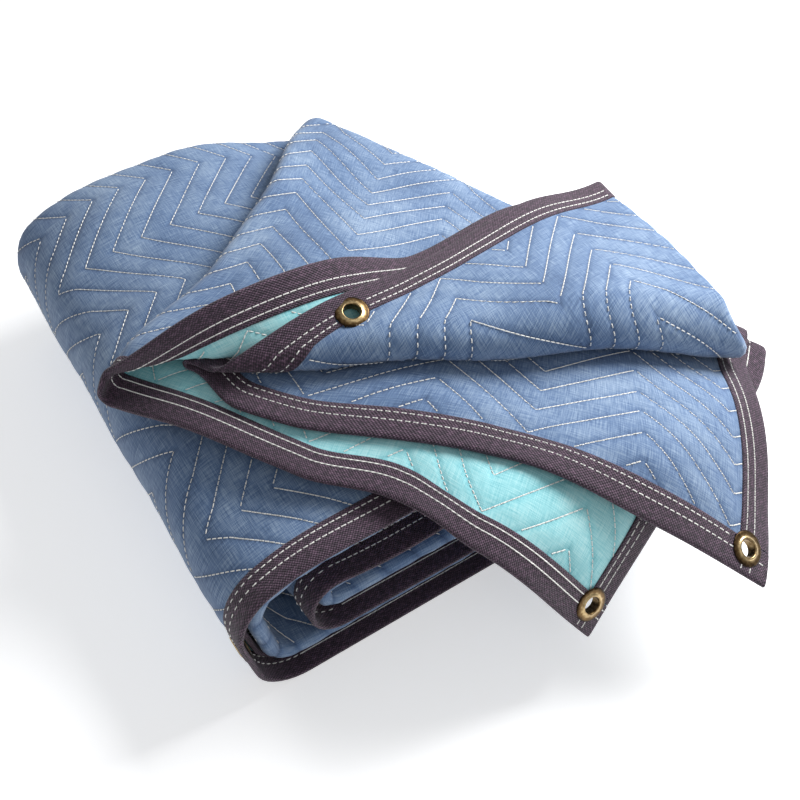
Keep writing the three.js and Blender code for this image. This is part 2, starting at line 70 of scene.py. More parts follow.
# The roll: turns in degrees with a radius, straight runs with a length, the last to the far end
ROLL_START = 637.0
ROLL = [("turn", 21, 312), ("turn", 80, 31), ("run", 36, 0), ("turn", 79, 31), ("run", 353, 0),
        ("turn", 180, 36), ("run", 318, 0), ("turn", 180, 18), ("run", None, 0)]
SIDE_FLAT, BOTTOM_RUN, INNER_RUN = 2, 4, 6
# The pile swells towards the back on the left and sinks on the right
BACK_RISE, BACK_RISE_ENDS, BACK_MOST = 0.25, (-60.0, 110.0), 1.2
BACK_SINK, BACK_SINK_GROWS = 0.24, (70.0, 250.0)
# The corner turned back, the corners hanging down, and the sag over the roll's edge
PEEL = {"tip": 2.0, "angle": 23.5, "radius": 7.6, "tight": 180.0, "growth": 0.035, "tip_turn": 70.0,
        "turn": 176.5, "reach": 230.0, "part": 1.9, "lead": 6.0, "from_fold": 0.3}
DROOP = {"start": (278.0, 292.0), "radius": 85.0, "turn": (66.0, 34.0), "ends": (0.3, 0.9)}
SAG = {"from": -118.0, "radius": 312.0}


def lerp(a, b, t):
    return a + (b - a) * t


def smooth(x, low, high):
    t = np.clip((x - low) / (high - low), 0, 1)
    return t * t * (3 - 2 * t)


def heading(degrees):
    return np.array([math.cos(math.radians(degrees)), math.sin(math.radians(degrees))])


for places in (LIP, ROLLED):
    arcs = math.pi * (OUTER_FOLD + 2 * TIGHT_FOLD) - 2 * OUTER_FOLD - 4 * TIGHT_FOLD
    places["ridge"] = (WIDTH - arcs - places["first"] - places["last"] + 2 * places["fold"]) / 2
# Stretches across the sheet, with their lengths: four panels and the three folds between them
FIRST, OUTER, TOP, RIDGE, THIRD, INNER, LAST = range(7)
stretch_lengths = np.array([
    ROLLED["first"] - OUTER_FOLD,
    math.pi * OUTER_FOLD,
    ROLLED["ridge"] - TIGHT_FOLD - OUTER_FOLD,
    math.pi * TIGHT_FOLD,
    ROLLED["ridge"] - ROLLED["fold"] - 2 * TIGHT_FOLD,
    math.pi * TIGHT_FOLD,
    ROLLED["last"] - ROLLED["fold"] - TIGHT_FOLD,
])
stretch_starts = np.concatenate([[0], np.cumsum(stretch_lengths)[:-1]])

crease_slope = math.degrees(math.atan((CREASE[0] - CREASE[1]) / STRIP))
roll_heading = UPPER_HEADING - 2 * crease_slope
upper_along, upper_across = heading(UPPER_HEADING), heading(UPPER_HEADING - 90)
roll_along, roll_across = heading(roll_heading), heading(roll_heading - 90)
crease_normal = np.array([CREASE[0] - CREASE[1], STRIP])
crease_normal /= np.linalg.norm(crease_normal)
crease_radius = 0.5 * UPPER_GAP
crease_corner = OUTER_TIP + CREASE[0] * upper_along
roll_front = crease_corner @ roll_across + STRIP
roll_zero = crease_corner @ roll_along + CREASE[0]

# Stretches of the roll: start, length, turn, place and heading in its upright plane
roll_path = []
start, spot, turned = ROLL_START, np.array([0.0, 0.0]), math.pi
for kind, amount, radius in ROLL:
    turn = math.radians(amount) if kind == "turn" else 0.0
    length = radius * turn if turn else (amount or LENGTH - start)
    roll_path.append((start, length, turn, spot[0], spot[1], turned))
    if turn:
        after = turned + turn
        spot = spot + radius * np.array([
            math.sin(after) - math.sin(turned), math.cos(turned) - math.cos(after)])
        turned = after
    else:
        spot = spot + length * np.array([math.cos(turned), math.sin(turned)])
    start += length
roll_path = np.array(roll_path)
bottom_level = FLOOR_LAYER + OUTER_FOLD
roll_top = bottom_level - roll_path[BOTTOM_RUN][4]
upper_level = roll_top + UPPER_GAP


def section(u, blend):
    """Stretch, place across the strip, height in its stack, setback, and share of the turn-back."""
    k = np.clip(np.searchsorted(stretch_starts, u, side="right") - 1, FIRST, LAST)
    f = (u - stretch_starts[k]) / stretch_lengths[k]
    mix = {key: lerp(LIP[key], ROLLED[key], blend) for key in ("first", "fold", "last", "ridge")}
    half = np.pi * f
    ridge, nest = mix["ridge"] - TIGHT_FOLD, mix["fold"] + TIGHT_FOLD
    zero, one = np.zeros_like(u), np.ones_like(u)
    q = np.choose(k, [
        lerp(mix["first"], OUTER_FOLD, f), OUTER_FOLD * (1 - np.sin(half)), lerp(OUTER_FOLD, ridge, f),
        ridge + TIGHT_FOLD * np.sin(half), lerp(ridge, nest, f), nest - TIGHT_FOLD * np.sin(half),
        lerp(nest, mix["last"], f)])
    n = np.choose(k, [
        -OUTER_FOLD * one, -OUTER_FOLD * np.cos(half), OUTER_FOLD * one, PITCH + TIGHT_FOLD * np.cos(half),
        TIGHT_FOLD * one, TIGHT_FOLD * np.cos(half), -TIGHT_FOLD * one])
    lips = [lip["depth"] * smooth(f, *lip["grows"]) * (1 - smooth(f, *lip["ends"]))
            for lip in (FIRST_LIP_IN, LAST_LIP_OUT)]
    setback = np.choose(k, [
        lerp(SETBACK["first"], 0, f) + lips[0], zero, zero, zero, lerp(0, SETBACK["fold"], f),
        SETBACK["fold"] * one, lerp(SETBACK["fold"], SETBACK["last"], f) - lips[1]])
    peel = np.choose(k, [zero, smooth(f, PEEL["from_fold"], 1), one, one, one, 1 - smooth(f, 0, 1), zero])
    return k, q, n, setback, peel


def bend(distance, radius, offset, most):
    """A flat layer bent round an axis: forward and rise of a point past the start."""
    angle = np.minimum(distance / radius, most)
    rest = distance - angle * radius
    forward = (radius - offset) * np.sin(angle) + rest * np.cos(angle)
    return forward, radius - (radius - offset) * np.cos(angle) + rest * np.sin(angle)


def past_crease(q, v):
    """Distance past the slanting crease, square to it."""
    return q * crease_normal[0] + (v - CREASE[0]) * crease_normal[1]


def drawn_in(q, v, n):
    """The outer fold drawn in behind its tip, and the far corner of the turned-back flap."""
    kept = 1 - smooth(past_crease(q, v), *DRAWN_FOLD["ends"])
    fold = DRAWN_FOLD["depth"] * smooth(v, 0, DRAWN_FOLD["grows"]) * kept * (1 - q / STRIP)
    return q + fold - DRAWN_FLAP["depth"] * smooth(n, OUTER_FOLD, DRAWN_FLAP["to"]) * q / STRIP


def place_in_strip(q, v, n, lifted):
    """A point of the strip in space: on top, round the crease behind, or in the roll."""
    past = np.where(lifted, -np.inf, past_crease(q, v))
    quarter = 0.5 * np.pi * crease_radius
    wound = np.maximum(past + quarter, 0)
    angle = np.minimum(wound / crease_radius, np.pi)
    reach = (crease_radius + n) * np.sin(angle) - wound
    top = OUTER_TIP + np.multiply.outer(q + reach * crease_normal[0], upper_across)
    top = top + np.multiply.outer(v + reach * crease_normal[1], upper_along)
    low = np.maximum(SAG["from"] - top @ roll_along, 0)
    top_z = n * np.cos(angle) - crease_radius * (1 - np.cos(angle)) - low * low / (2 * SAG["radius"])
    i = np.clip(np.searchsorted(roll_path[:, 0], v, side="right") - 1, 0, len(roll_path) - 1)
    start, length, turn, l0, z0, turned = np.moveaxis(roll_path[i], -1, 0)
    past_start = v - start
    after = turned + turn * np.maximum(past_start, 0) / length
    radius = length / np.where(turn == 0, 1, turn)
    straight = (turn == 0) | (past_start < 0)
    forward = np.where(straight, past_start * np.cos(turned), radius * (np.sin(after) - np.sin(turned)))
    rise = np.where(straight, past_start * np.sin(turned), radius * (np.cos(turned) - np.cos(after)))
    rolled = np.multiply.outer(roll_zero - ROLL_START + l0 + forward - n * np.sin(after), roll_along)
    rolled = rolled + np.multiply.outer(roll_front - STRIP + q, roll_across)
    on_top = past < quarter
    floor = np.where(on_top[..., None], top, rolled)
    middle = np.where(on_top, upper_level, roll_top + z0 + rise)
    height = np.where(on_top, top_z, n * np.cos(after))
    behind = np.clip((roll_front - floor @ roll_across) / STRIP, 0, BACK_MOST)
    along = floor @ roll_along
    swell = BACK_RISE * behind * (1 - smooth(along, *BACK_RISE_ENDS))
    sink = BACK_SINK * smooth(along, *BACK_SINK_GROWS)
    lift = (np.minimum(middle, roll_top) - bottom_level) * (swell - sink)
    return np.concatenate([floor, (middle + lift + height)[..., None]], axis=-1)


# Slack of the soft pile: slow waves in space, so that all layers move together. Each has
# its turns in radians per metre, its phase and its reach
SLACK_RISES = (8.0, 90.0)
SLACK_WAVES = [((31.0, 17.0, 9.0), 0.4, (0.3, 0.5, 1.6)), ((-19.0, 37.0, 12.0), 1.9, (0.6, -0.4, 1.5)),
               ((47.0, -29.0, 21.0), 3.1, (-0.5, 0.5, 0.9)), ((11.0, 58.0, -26.0), 4.4, (0.4, 0.6, 0.8))]


def slack(points):
    """Points in millimetres, moved by the waves; still at the floor."""
    loose = smooth(points[..., 2], *SLACK_RISES)
    moved = points.copy()
    for wave, phase, reach in SLACK_WAVES:
        swing = np.sin(points @ np.array(wave) / 1000 + phase) * loose
        moved = moved + swing[..., None] * np.array(reach)
    return moved


def sheet_middle(u, w):
    """Middle of the quilted sheet: u from the first long edge, w from the near end."""
    u, w = np.broadcast_arrays(np.asarray(u, float), np.asarray(w, float))
    k, q, n, setback, peel = section(u, np.ones_like(u))
    kept = 1 - smooth(w, *SETBACK_ENDS)
    # The setback and the place across depend on each other, and settle in a few rounds
    for _ in range(3):
        v = w + setback * kept
        share = v / lerp(CREASE[0], CREASE[1], q / STRIP)
        k, q, n, setback, peel = section(u, smooth(share, *LIP_TO_ROLL))
    on_top = share < 1
    eased = lerp(1, DRAWN_RIDGE["kept"], smooth(v, *DRAWN_RIDGE["eases"]))
    window = smooth(v, *DRAWN_RIDGE["grows"]) * eased
    drawn = DRAWN_RIDGE["depth"] * smooth(q, *DRAWN_RIDGE["across"]) * window
    q = q - np.where((k >= TOP) & (k <= THIRD), drawn, 0)
    cos, sin = heading(PEEL["angle"])
    along = (q - PEEL["tip"]) * cos + v * sin
    off = (q - PEEL["tip"]) * sin - v * cos
    radius = PEEL["radius"] + PEEL["growth"] * np.maximum(along - PEEL["tight"], 0)
    turn = np.radians(lerp(PEEL["tip_turn"], PEEL["turn"], smooth(along, 0, PEEL["reach"])))
    start = -0.5 * turn * radius - PEEL["lead"] * smooth(n, PITCH - TIGHT_FOLD, PITCH + TIGHT_FOLD)
    opening = smooth(along, 0, PEEL["reach"]) * smooth(off - start, 0, turn * radius)
    offset = lerp(1, PEEL["part"], opening) * (n - PITCH)
    forward, rise = bend(np.maximum(off - start, 0), radius, offset, turn)
    lifted = on_top & (off > start) & (peel > 0)
    shift = np.where(lifted, peel * (start + forward - off), 0)
    q, v = q + shift * sin, v - shift * cos
    n = np.where(lifted, lerp(n, PITCH + rise, peel), n)
    hang_cos, hang_sin = heading(90 - (UPPER_HEADING - roll_heading))
    inner = k >= INNER
    off = (q - np.where(inner, DROOP["start"][1], DROOP["start"][0])) * hang_sin - v * hang_cos
    hangs = on_top & (off > 0) & ((k <= OUTER) | inner)
    most = np.radians(np.where(inner, DROOP["turn"][1], DROOP["turn"][0]))
    most = most * (1 - smooth(share, *DROOP["ends"]))
    forward, fall = bend(np.maximum(off, 0), DROOP["radius"], -PITCH - n, most)
    shift = np.where(hangs, forward - off, 0)
    q, v = q + shift * hang_sin, v - shift * hang_cos
    n = np.where(hangs, -PITCH - fall, n)
    return slack(place_in_strip(drawn_in(q, v, n), v, n, lifted & ~hangs))


def sheet_normal(u, w):
    """Normal on the blue side."""
    step = 0.6
    across = sheet_middle(u + step, w) - sheet_middle(u - step, w)
    along = sheet_middle(u, w + step) - sheet_middle(u, w - step)
    normal = np.cross(across, along)
    return normal / np.linalg.norm(normal, axis=-1, keepdims=True)


# The underside is pressed flat: what would reach below the floor lies on it, layer on layer
PRESSED = {"reach": 4.0, "share": 0.05}


def sheet_place(u, w, offset):
    """A point off the middle of the sheet, in metres in the part's frame."""
    u, w = np.broadcast_arrays(np.asarray(u, float), np.asarray(w, float))
    offset = np.broadcast_to(offset, u.shape)
    place = sheet_middle(u, w) + offset[..., None] * sheet_normal(u, w) + CENTRING
    place[..., 2] = np.maximum(place[..., 2], PRESSED["share"] * (PRESSED["reach"] - np.abs(offset)))
    return place / 1000


# Zigzag quilting: the rows' pitch along the sheet, and the zigzag's wave across it
ROW_PITCH, ZIGZAG_WAVE, ZIGZAG_HEIGHT = 26.9, 150.0, 64.0
ZIGZAG_START, ROW_START = 146.0, 10.2


def zigzag(u):
    """How far a quilting row runs towards the near end, at a place across the sheet."""
    return ZIGZAG_HEIGHT * np.abs(2 * (((u - ZIGZAG_START) / ZIGZAG_WAVE) % 1) - 1) - ROW_START


TAPE_WIDTH, TAPER = 25.0, (22.0, 40.0)
CLOTH_BOUND, CLOTH_SEWN, CLOTH_PUFFED = 0.75, 1.9, 2.9
PUFF_ROUND = 0.7


def cloth_thickness(u, w):
    """Thin in the binding, drawn down along each row of stitches, puffed in between."""
    row = ((w + zigzag(u)) / ROW_PITCH) % 1
    puff = lerp(CLOTH_SEWN, CLOTH_PUFFED, np.sin(np.pi * row) ** PUFF_ROUND)
    edge = np.minimum(np.minimum(u, WIDTH - u), np.minimum(w, LENGTH - w))
    return lerp(CLOTH_BOUND, puff, smooth(edge, *TAPER))


# Where the eyelets are punched: from the first long edge and from the near end
EYELET_INSET = 18.5
LIP_EYELET_FROM_TIP = 127.0
side_flat = roll_path[SIDE_FLAT]
eyelets = {
    "eyelet_first_corner": (EYELET_INSET, EYELET_INSET),
    "eyelet_last_corner": (WIDTH - EYELET_INSET, EYELET_INSET),
    "eyelet_inner_lip": (stretch_starts[INNER] - LIP_EYELET_FROM_TIP, EYELET_INSET),
    "eyelet_roll_side": (EYELET_INSET, side_flat[0] + 0.5 * side_flat[1]),
}


def from_eyelet(u, w):
    """Distance to the nearest eyelet, in the flat sheet."""
    return np.min([np.hypot(u - eu, w - ew) for eu, ew in eyelets.values()], axis=0)


def mesh_grid(name, points, uv, flip=False, closed=False, keep=None):
    """A mesh from a grid of points, with its UV map in metres of cloth."""
    rows, columns = points.shape[:2]
    index = np.arange(rows * columns).reshape(rows, columns)
    if closed:
        index = np.concatenate([index, index[:, :1]], axis=1)
    quads = np.stack([index[:-1, :-1], index[1:, :-1], index[1:, 1:], index[:-1, 1:]], axis=-1)
    quads = quads.reshape(-1, 4)
    if flip:
        quads = quads[:, ::-1]
    if keep is not None:
        quads = quads[keep.ravel()]
    mesh = bpy.data.meshes.new(name)
    mesh.from_pydata(points.reshape(-1, 3).tolist(), [], quads.tolist())
    layer = mesh.uv_layers.new(name="cloth")
    corner = np.empty(len(mesh.loops), dtype=np.int32)
    mesh.loops.foreach_get("vertex_index", corner)
    layer.data.foreach_set("uv", uv.reshape(-1, 2)[corner].astype(np.float32).ravel())
    mesh.shade_smooth()
    piece = bpy.data.objects.new(name, mesh)
    bpy.context.collection.objects.link(piece)
    return piece


def spaced(*spans):
    """Places along the sheet: each span is (from, to, step)."""
    lists = [np.linspace(a, b, max(int(round((b - a) / step)), 1) + 1)[:-1] for a, b, step in spans]
    return np.concatenate(lists + [[spans[-1][1]]])


# Steps of the cloth's mesh: across by stretch, along from the near end to the far end
FLAT_STEP, OUTER_STEP, TIGHT_STEP = 6.2, 3.6, 2.0
NEAR_END, FAR_END = 60.0, 40.0
cloth_u = spaced(*[
    (start, start + length, (OUTER_STEP if k == OUTER else TIGHT_STEP) if k % 2 else FLAT_STEP)
    for k, (start, length) in enumerate(zip(stretch_starts, stretch_lengths))])
turn_starts = roll_path[:, 0]
stops_along = [0, NEAR_END, *turn_starts[BOTTOM_RUN:], LENGTH - FAR_END, LENGTH]
steps_along = [4, 5, 12, 6, 12, 4.5, 12, 8]
cloth_w = spaced(*zip(stops_along, stops_along[1:], steps_along))
MIDDLE_GAP = 0.15
PUNCHED = 10.3


def cell_middles(values):
    return 0.25 * (values[:-1, :-1] + values[1:, :-1] + values[1:, 1:] + values[:-1, 1:])


def quilted_cloth(name, side):
    """One face of the blanket: side 1 is the blue face, side -1 the aqua back."""
    u, w = np.meshgrid(cloth_u, cloth_w, indexing="ij")
    points = sheet_place(u, w, side * (MIDDLE_GAP + cloth_thickness(u, w)))
    keep = from_eyelet(cell_middles(u), cell_middles(w)) > PUNCHED
    return mesh_grid(name, points, np.stack([u, w], axis=-1) / 1000, flip=side < 0, keep=keep)


def cloth_surface(u, w):
    """Thickness of the cloth as it is meshed, between the grid's own points."""
    grid = cloth_thickness(*np.meshgrid(cloth_u, cloth_w, indexing="ij"))
    i = np.clip(np.searchsorted(cloth_u, u) - 1, 0, len(cloth_u) - 2)
    j = np.clip(np.searchsorted(cloth_w, w) - 1, 0, len(cloth_w) - 2)
    a = (u - cloth_u[i]) / (cloth_u[i + 1] - cloth_u[i])
    b = (w - cloth_w[j]) / (cloth_w[j + 1] - cloth_w[j])
    return lerp(lerp(grid[i, j], grid[i + 1, j], a), lerp(grid[i, j + 1], grid[i + 1, j + 1], a), b)


def new_material(name):
    material = bpy.data.materials.new(name)
    material.use_nodes = True
    tree = material.node_tree
    return material, tree, tree.nodes["Principled BSDF"]


def add_node(tree, kind, settings=None, **inputs):
    """A node with its settings and inputs: an input is a value or another node's output."""
    node = tree.nodes.new(kind)
    for key, value in (settings or {}).items():
        setattr(node, key, value)
    for key, value in inputs.items():
        socket = node.inputs[int(key[1:])] if key[0] == "i" and key[1:].isdigit() else node.inputs[key]
        if isinstance(value, bpy.types.NodeSocket):
            tree.links.new(value, socket)
        else:
            socket.default_value = value
    return node


def calc(tree, operation, *values):
    node = add_node(tree, "ShaderNodeMath", {"operation": operation},
                    **{f"i{i}": value for i, value in enumerate(values)})
    return node.outputs[0]


def ramp(tree, factor, stops):
    """Colours by a factor: each stop is a position and a colour."""
    stops = list(stops)
    node = add_node(tree, "ShaderNodeValToRGB", i0=factor)
    while len(node.color_ramp.elements) < len(stops):
        node.color_ramp.elements.new(0.5)
    for element, (position, colour) in zip(node.color_ramp.elements, stops):
        element.position = position
        element.color = (*colour, 1)
    return node.outputs[0]


def woven_streaks(tree, uv, scale_u, scale_w, detail=2.0):
    """Slubs of the yarn: noise drawn out along one way of the weave."""
    mapping = add_node(tree, "ShaderNodeMapping", Vector=uv, Scale=(scale_u, scale_w, 1.0))
    noise = add_node(tree, "ShaderNodeTexNoise", Vector=mapping.outputs[0], Scale=1.0, Detail=detail)
    return noise.outputs[0]


# Cloth finish: noise scales and waves are per metre of cloth
YARN_FINE, YARN_LONG, FADED_SCALE, FADED_DETAIL = 1500.0, 60.0, 14.0, 3.0
YARN_SHARE, FADED_SHARE = 0.7, 0.3
# The groove's painted shade: how much the cloth's colour darkens along each quilting row
GROOVE_SLOPE, GROOVE_ROUND, GROOVE_PAINTED_SHADE, GROOVE_LEVEL = 4.5, 0.6, 0.12, 0.1
CLOTH_STOPS = (0.33, 0.49, 0.68)
WEAVE_WAVE, WEAVE_RELIEF = 5200.0, 0.05
PUCKER_SCALES, PUCKER_DETAIL, PUCKER_RELIEF = (150.0, 90.0), 3.0, 0.5
CLOTH_BUMP = {"Strength": 0.35, "Distance": 0.0020}
CLOTH_ROUGHNESS, CLOTH_SHEEN_ROUGHNESS = 0.88, 0.5


def row_distance(tree, u, w):
    """Distance to the nearest quilting row, as a share of the pitch, from the cloth's own UV map."""
    wave = calc(tree, "SUBTRACT", u, (ZIGZAG_START - ZIGZAG_WAVE) / 1000)
    wave = calc(tree, "FRACT", calc(tree, "DIVIDE", wave, ZIGZAG_WAVE / 1000))
    zig = calc(tree, "ABSOLUTE", calc(tree, "SUBTRACT", calc(tree, "MULTIPLY", wave, 2.0), 1.0))
    shifted = calc(tree, "SUBTRACT", w, ROW_START / 1000)
    shifted = calc(tree, "ADD", shifted, calc(tree, "MULTIPLY", zig, ZIGZAG_HEIGHT / 1000))
    row = calc(tree, "FRACT", calc(tree, "DIVIDE", shifted, ROW_PITCH / 1000))
    return calc(tree, "SUBTRACT", 0.5, calc(tree, "ABSOLUTE", calc(tree, "SUBTRACT", row, 0.5)))


def quilted_finish(name, colours, sheen):
    """Woven cloth with slubs both ways, a fine weave, and a groove along each quilting row, its colour
    darkened there as painted shade.
    """
    material, tree, shader = new_material(name)
    uv = add_node(tree, "ShaderNodeUVMap", {"uv_map": "cloth"}).outputs[0]
    warp = woven_streaks(tree, uv, YARN_FINE, YARN_LONG)
    weft = woven_streaks(tree, uv, YARN_LONG, YARN_FINE)
    faded = woven_streaks(tree, uv, FADED_SCALE, FADED_SCALE, FADED_DETAIL)
    yarn = calc(tree, "MULTIPLY", calc(tree, "ADD", warp, weft), 0.5 * YARN_SHARE)
    tone = calc(tree, "ADD", yarn, calc(tree, "MULTIPLY", faded, FADED_SHARE))
    split = add_node(tree, "ShaderNodeSeparateXYZ", Vector=uv)
    u, w = split.outputs[0], split.outputs[1]
    slope = calc(tree, "MULTIPLY", row_distance(tree, u, w), GROOVE_SLOPE)
    groove = calc(tree, "POWER", calc(tree, "MINIMUM", slope, 1.0), GROOVE_ROUND)
    # Painted shade: darker colour in the groove along each quilting row
    shade = calc(tree, "MULTIPLY_ADD", groove, GROOVE_PAINTED_SHADE, calc(tree, "SUBTRACT", tone, GROOVE_LEVEL))
    tree.links.new(ramp(tree, shade, zip(CLOTH_STOPS, colours)), shader.inputs["Base Color"])
    weave_u = calc(tree, "SINE", calc(tree, "MULTIPLY", u, WEAVE_WAVE))
    weave_w = calc(tree, "SINE", calc(tree, "MULTIPLY", w, WEAVE_WAVE))
    weave = calc(tree, "MULTIPLY", weave_u, weave_w)
    puckers = woven_streaks(tree, uv, *PUCKER_SCALES, PUCKER_DETAIL)
    relief = calc(tree, "MULTIPLY_ADD", puckers, PUCKER_RELIEF, groove)
    relief = calc(tree, "MULTIPLY_ADD", weave, WEAVE_RELIEF, relief)
    bump = add_node(tree, "ShaderNodeBump", Height=relief, **CLOTH_BUMP)
    tree.links.new(bump.outputs[0], shader.inputs["Normal"])
    shader.inputs["Roughness"].default_value = CLOTH_ROUGHNESS
    shader.inputs["Sheen Weight"].default_value = sheen
    shader.inputs["Sheen Roughness"].default_value = CLOTH_SHEEN_ROUGHNESS
    return material


# Dark, middle and light tones of the blue, and its sheen
BLUES = [(0.036, 0.070, 0.150), (0.100, 0.170, 0.305), (0.32, 0.415, 0.54)]
BLUE_SHEEN = 0.15
blue_face = quilted_cloth("blue_face_cloth", 1)
blue_face.data.materials.append(quilted_finish("blue chambray", BLUES, BLUE_SHEEN))
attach(blue_face, "root")
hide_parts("blue_face")

# Aqua back: plainer, brighter cotton on the other side of the quilting. It shows where
# the corners hang open and inside the turned-back mouth.
AQUAS = [(0.12, 0.40, 0.46), (0.27, 0.59, 0.63), (0.50, 0.76, 0.77)]
AQUA_SHEEN = 0.1
aqua_back = quilted_cloth("aqua_back_cloth", -1)
aqua_back.data.materials.append(quilted_finish("aqua cotton", AQUAS, AQUA_SHEEN))
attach(aqua_back, "root")
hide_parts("aqua_back")

# Binding: dark woven tape folded over each edge and sewn down with two rows of stitches.
# The tapes of the two ends run the full width and the side tapes butt against them.
TAPE_TOP = 2.15
TAPE_CUT = [(TAPE_WIDTH, TAPE_TOP - 1.1), (TAPE_WIDTH - 0.2, TAPE_TOP - 0.2), (TAPE_WIDTH - 1.2, TAPE_TOP)]
TAPE_INSETS = (21.5, 19.0, 16.5, 14.0, 11.5, 9.0, 6.5, 4.5, 2.5)
EDGE_INSET, EDGE_REACH, EDGE_FACETS = 1.0, 2.1, 5
TAPE_FLAT_STEP, TAPE_FOLD_STEP = 5.0, 2.0
BUTT_GAP = 0.4


def tape_profile():
    """Inset and offset round the folded tape, from its blue leg to its aqua leg."""
    leg = TAPE_CUT + [(inset, TAPE_TOP) for inset in TAPE_INSETS]
    turns = [math.pi * (0.5 - i / EDGE_FACETS) for i in range(1, EDGE_FACETS)]
    edge = [(EDGE_INSET - EDGE_REACH * math.cos(a), TAPE_TOP * math.sin(a)) for a in turns]
    return np.array(leg + edge + [(inset, -offset) for inset, offset in reversed(leg)])


def woven_tape(name, places, flat_at, flip=False):
    """One tape: flat_at gives a place on the sheet from the place along the tape and the inset."""
    profile = tape_profile()
    inset, offset = profile.T
    points = np.stack([sheet_place(*flat_at(place, inset), offset) for place in places])
    round_tape = np.concatenate([[0], np.cumsum(np.hypot(*np.diff(profile, axis=0).T))])
    uv = np.stack(np.meshgrid(np.asarray(places), round_tape, indexing="ij"), axis=-1) / 1000
    flat = np.stack([np.stack(np.broadcast_arrays(*flat_at(place, inset)), axis=-1) for place in places])
    keep = from_eyelet(cell_middles(flat[..., 0]), cell_middles(flat[..., 1])) > PUNCHED
    return mesh_grid(name, points, uv, flip=flip, keep=keep)


tape_u = spaced(*[
    (start, start + length, TAPE_FOLD_STEP if k % 2 else TAPE_FLAT_STEP)
    for k, (start, length) in enumerate(zip(stretch_starts, stretch_lengths))])
tape_w = cloth_w[(cloth_w > TAPE_WIDTH) & (cloth_w < LENGTH - TAPE_WIDTH)]
butt = TAPE_WIDTH + BUTT_GAP
tape_w = np.concatenate([[butt], tape_w, [LENGTH - butt]])
tapes = {
    "binding_near_end": woven_tape("near_end_tape", tape_u, lambda u, inset: (u, inset), flip=True),
    "binding_far_end": woven_tape("far_end_tape", tape_u, lambda u, inset: (u, LENGTH - inset)),
    "binding_first_side": woven_tape("first_side_tape", tape_w, lambda w, inset: (inset, w)),
    "binding_last_side": woven_tape(
        "last_side_tape", tape_w, lambda w, inset: (WIDTH - inset, w), flip=True),
}

TAPE_TONES = [(0.3, (0.011, 0.005, 0.012)), (0.52, (0.034, 0.014, 0.032)), (0.78, (0.135, 0.075, 0.12))]
TAPE_WAVE, TAPE_WEAVE_SHARE, TAPE_WORN_SCALES = 2700.0, 0.2, (220.0, 700.0)
TAPE_BUMP = {"Strength": 0.6, "Distance": 0.0006}
TAPE_ROUGHNESS, TAPE_SHEEN = 0.75, 0.13


def tape_finish():
    """Coarse dark basket weave with paler worn yarns."""
    material, tree, shader = new_material("dark woven tape")
    uv = add_node(tree, "ShaderNodeUVMap", {"uv_map": "cloth"}).outputs[0]
    split = add_node(tree, "ShaderNodeSeparateXYZ", Vector=uv)
    along = calc(tree, "SINE", calc(tree, "MULTIPLY", split.outputs[0], TAPE_WAVE))
    across = calc(tree, "SINE", calc(tree, "MULTIPLY", split.outputs[1], TAPE_WAVE))
    weave = calc(tree, "MULTIPLY", along, across)
    worn = woven_streaks(tree, uv, *TAPE_WORN_SCALES)
    tone = calc(tree, "MULTIPLY_ADD", weave, TAPE_WEAVE_SHARE, worn)
    tree.links.new(ramp(tree, tone, TAPE_TONES), shader.inputs["Base Color"])
    bump = add_node(tree, "ShaderNodeBump", Height=weave, **TAPE_BUMP)
    tree.links.new(bump.outputs[0], shader.inputs["Normal"])
    shader.inputs["Roughness"].default_value = TAPE_ROUGHNESS
    shader.inputs["Sheen Weight"].default_value = TAPE_SHEEN
    return material


tape_material = tape_finish()
for node, tape in tapes.items():
    tape.data.materials.append(tape_material)
    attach(tape, "root")
    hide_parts(node)

# Stitching: white thread. Zigzag rows quilt the cloths together, and two straight rows
# hold the binding, short stitches on the blue side and longer ones on the aqua side.
THREAD_WIDTH, THREAD_HEIGHT = 0.0009, 0.0006
# The rows lie in millimetres of flat sheet, and the thread itself is in metres
QUILT_PITCH, BLUE_SHARE, AQUA_SHARE = 4.0, 0.88, 0.9
BINDING_PITCH, BINDING_BLUE_SHARE, BINDING_AQUA_SHARE = 5.0, 0.72, 1.0
BINDING_ROWS, BINDING_ENDS = (13.6, 20.6), 4.0
STITCH_LIFT = 0.1
# No stitch under an eyelet, across a zigzag's corner, or where the cloth bends away from it
EYELET_CLEAR, LEAST_SLANT, MOST_SAGITTA = 13.0, 0.6, 0.0004


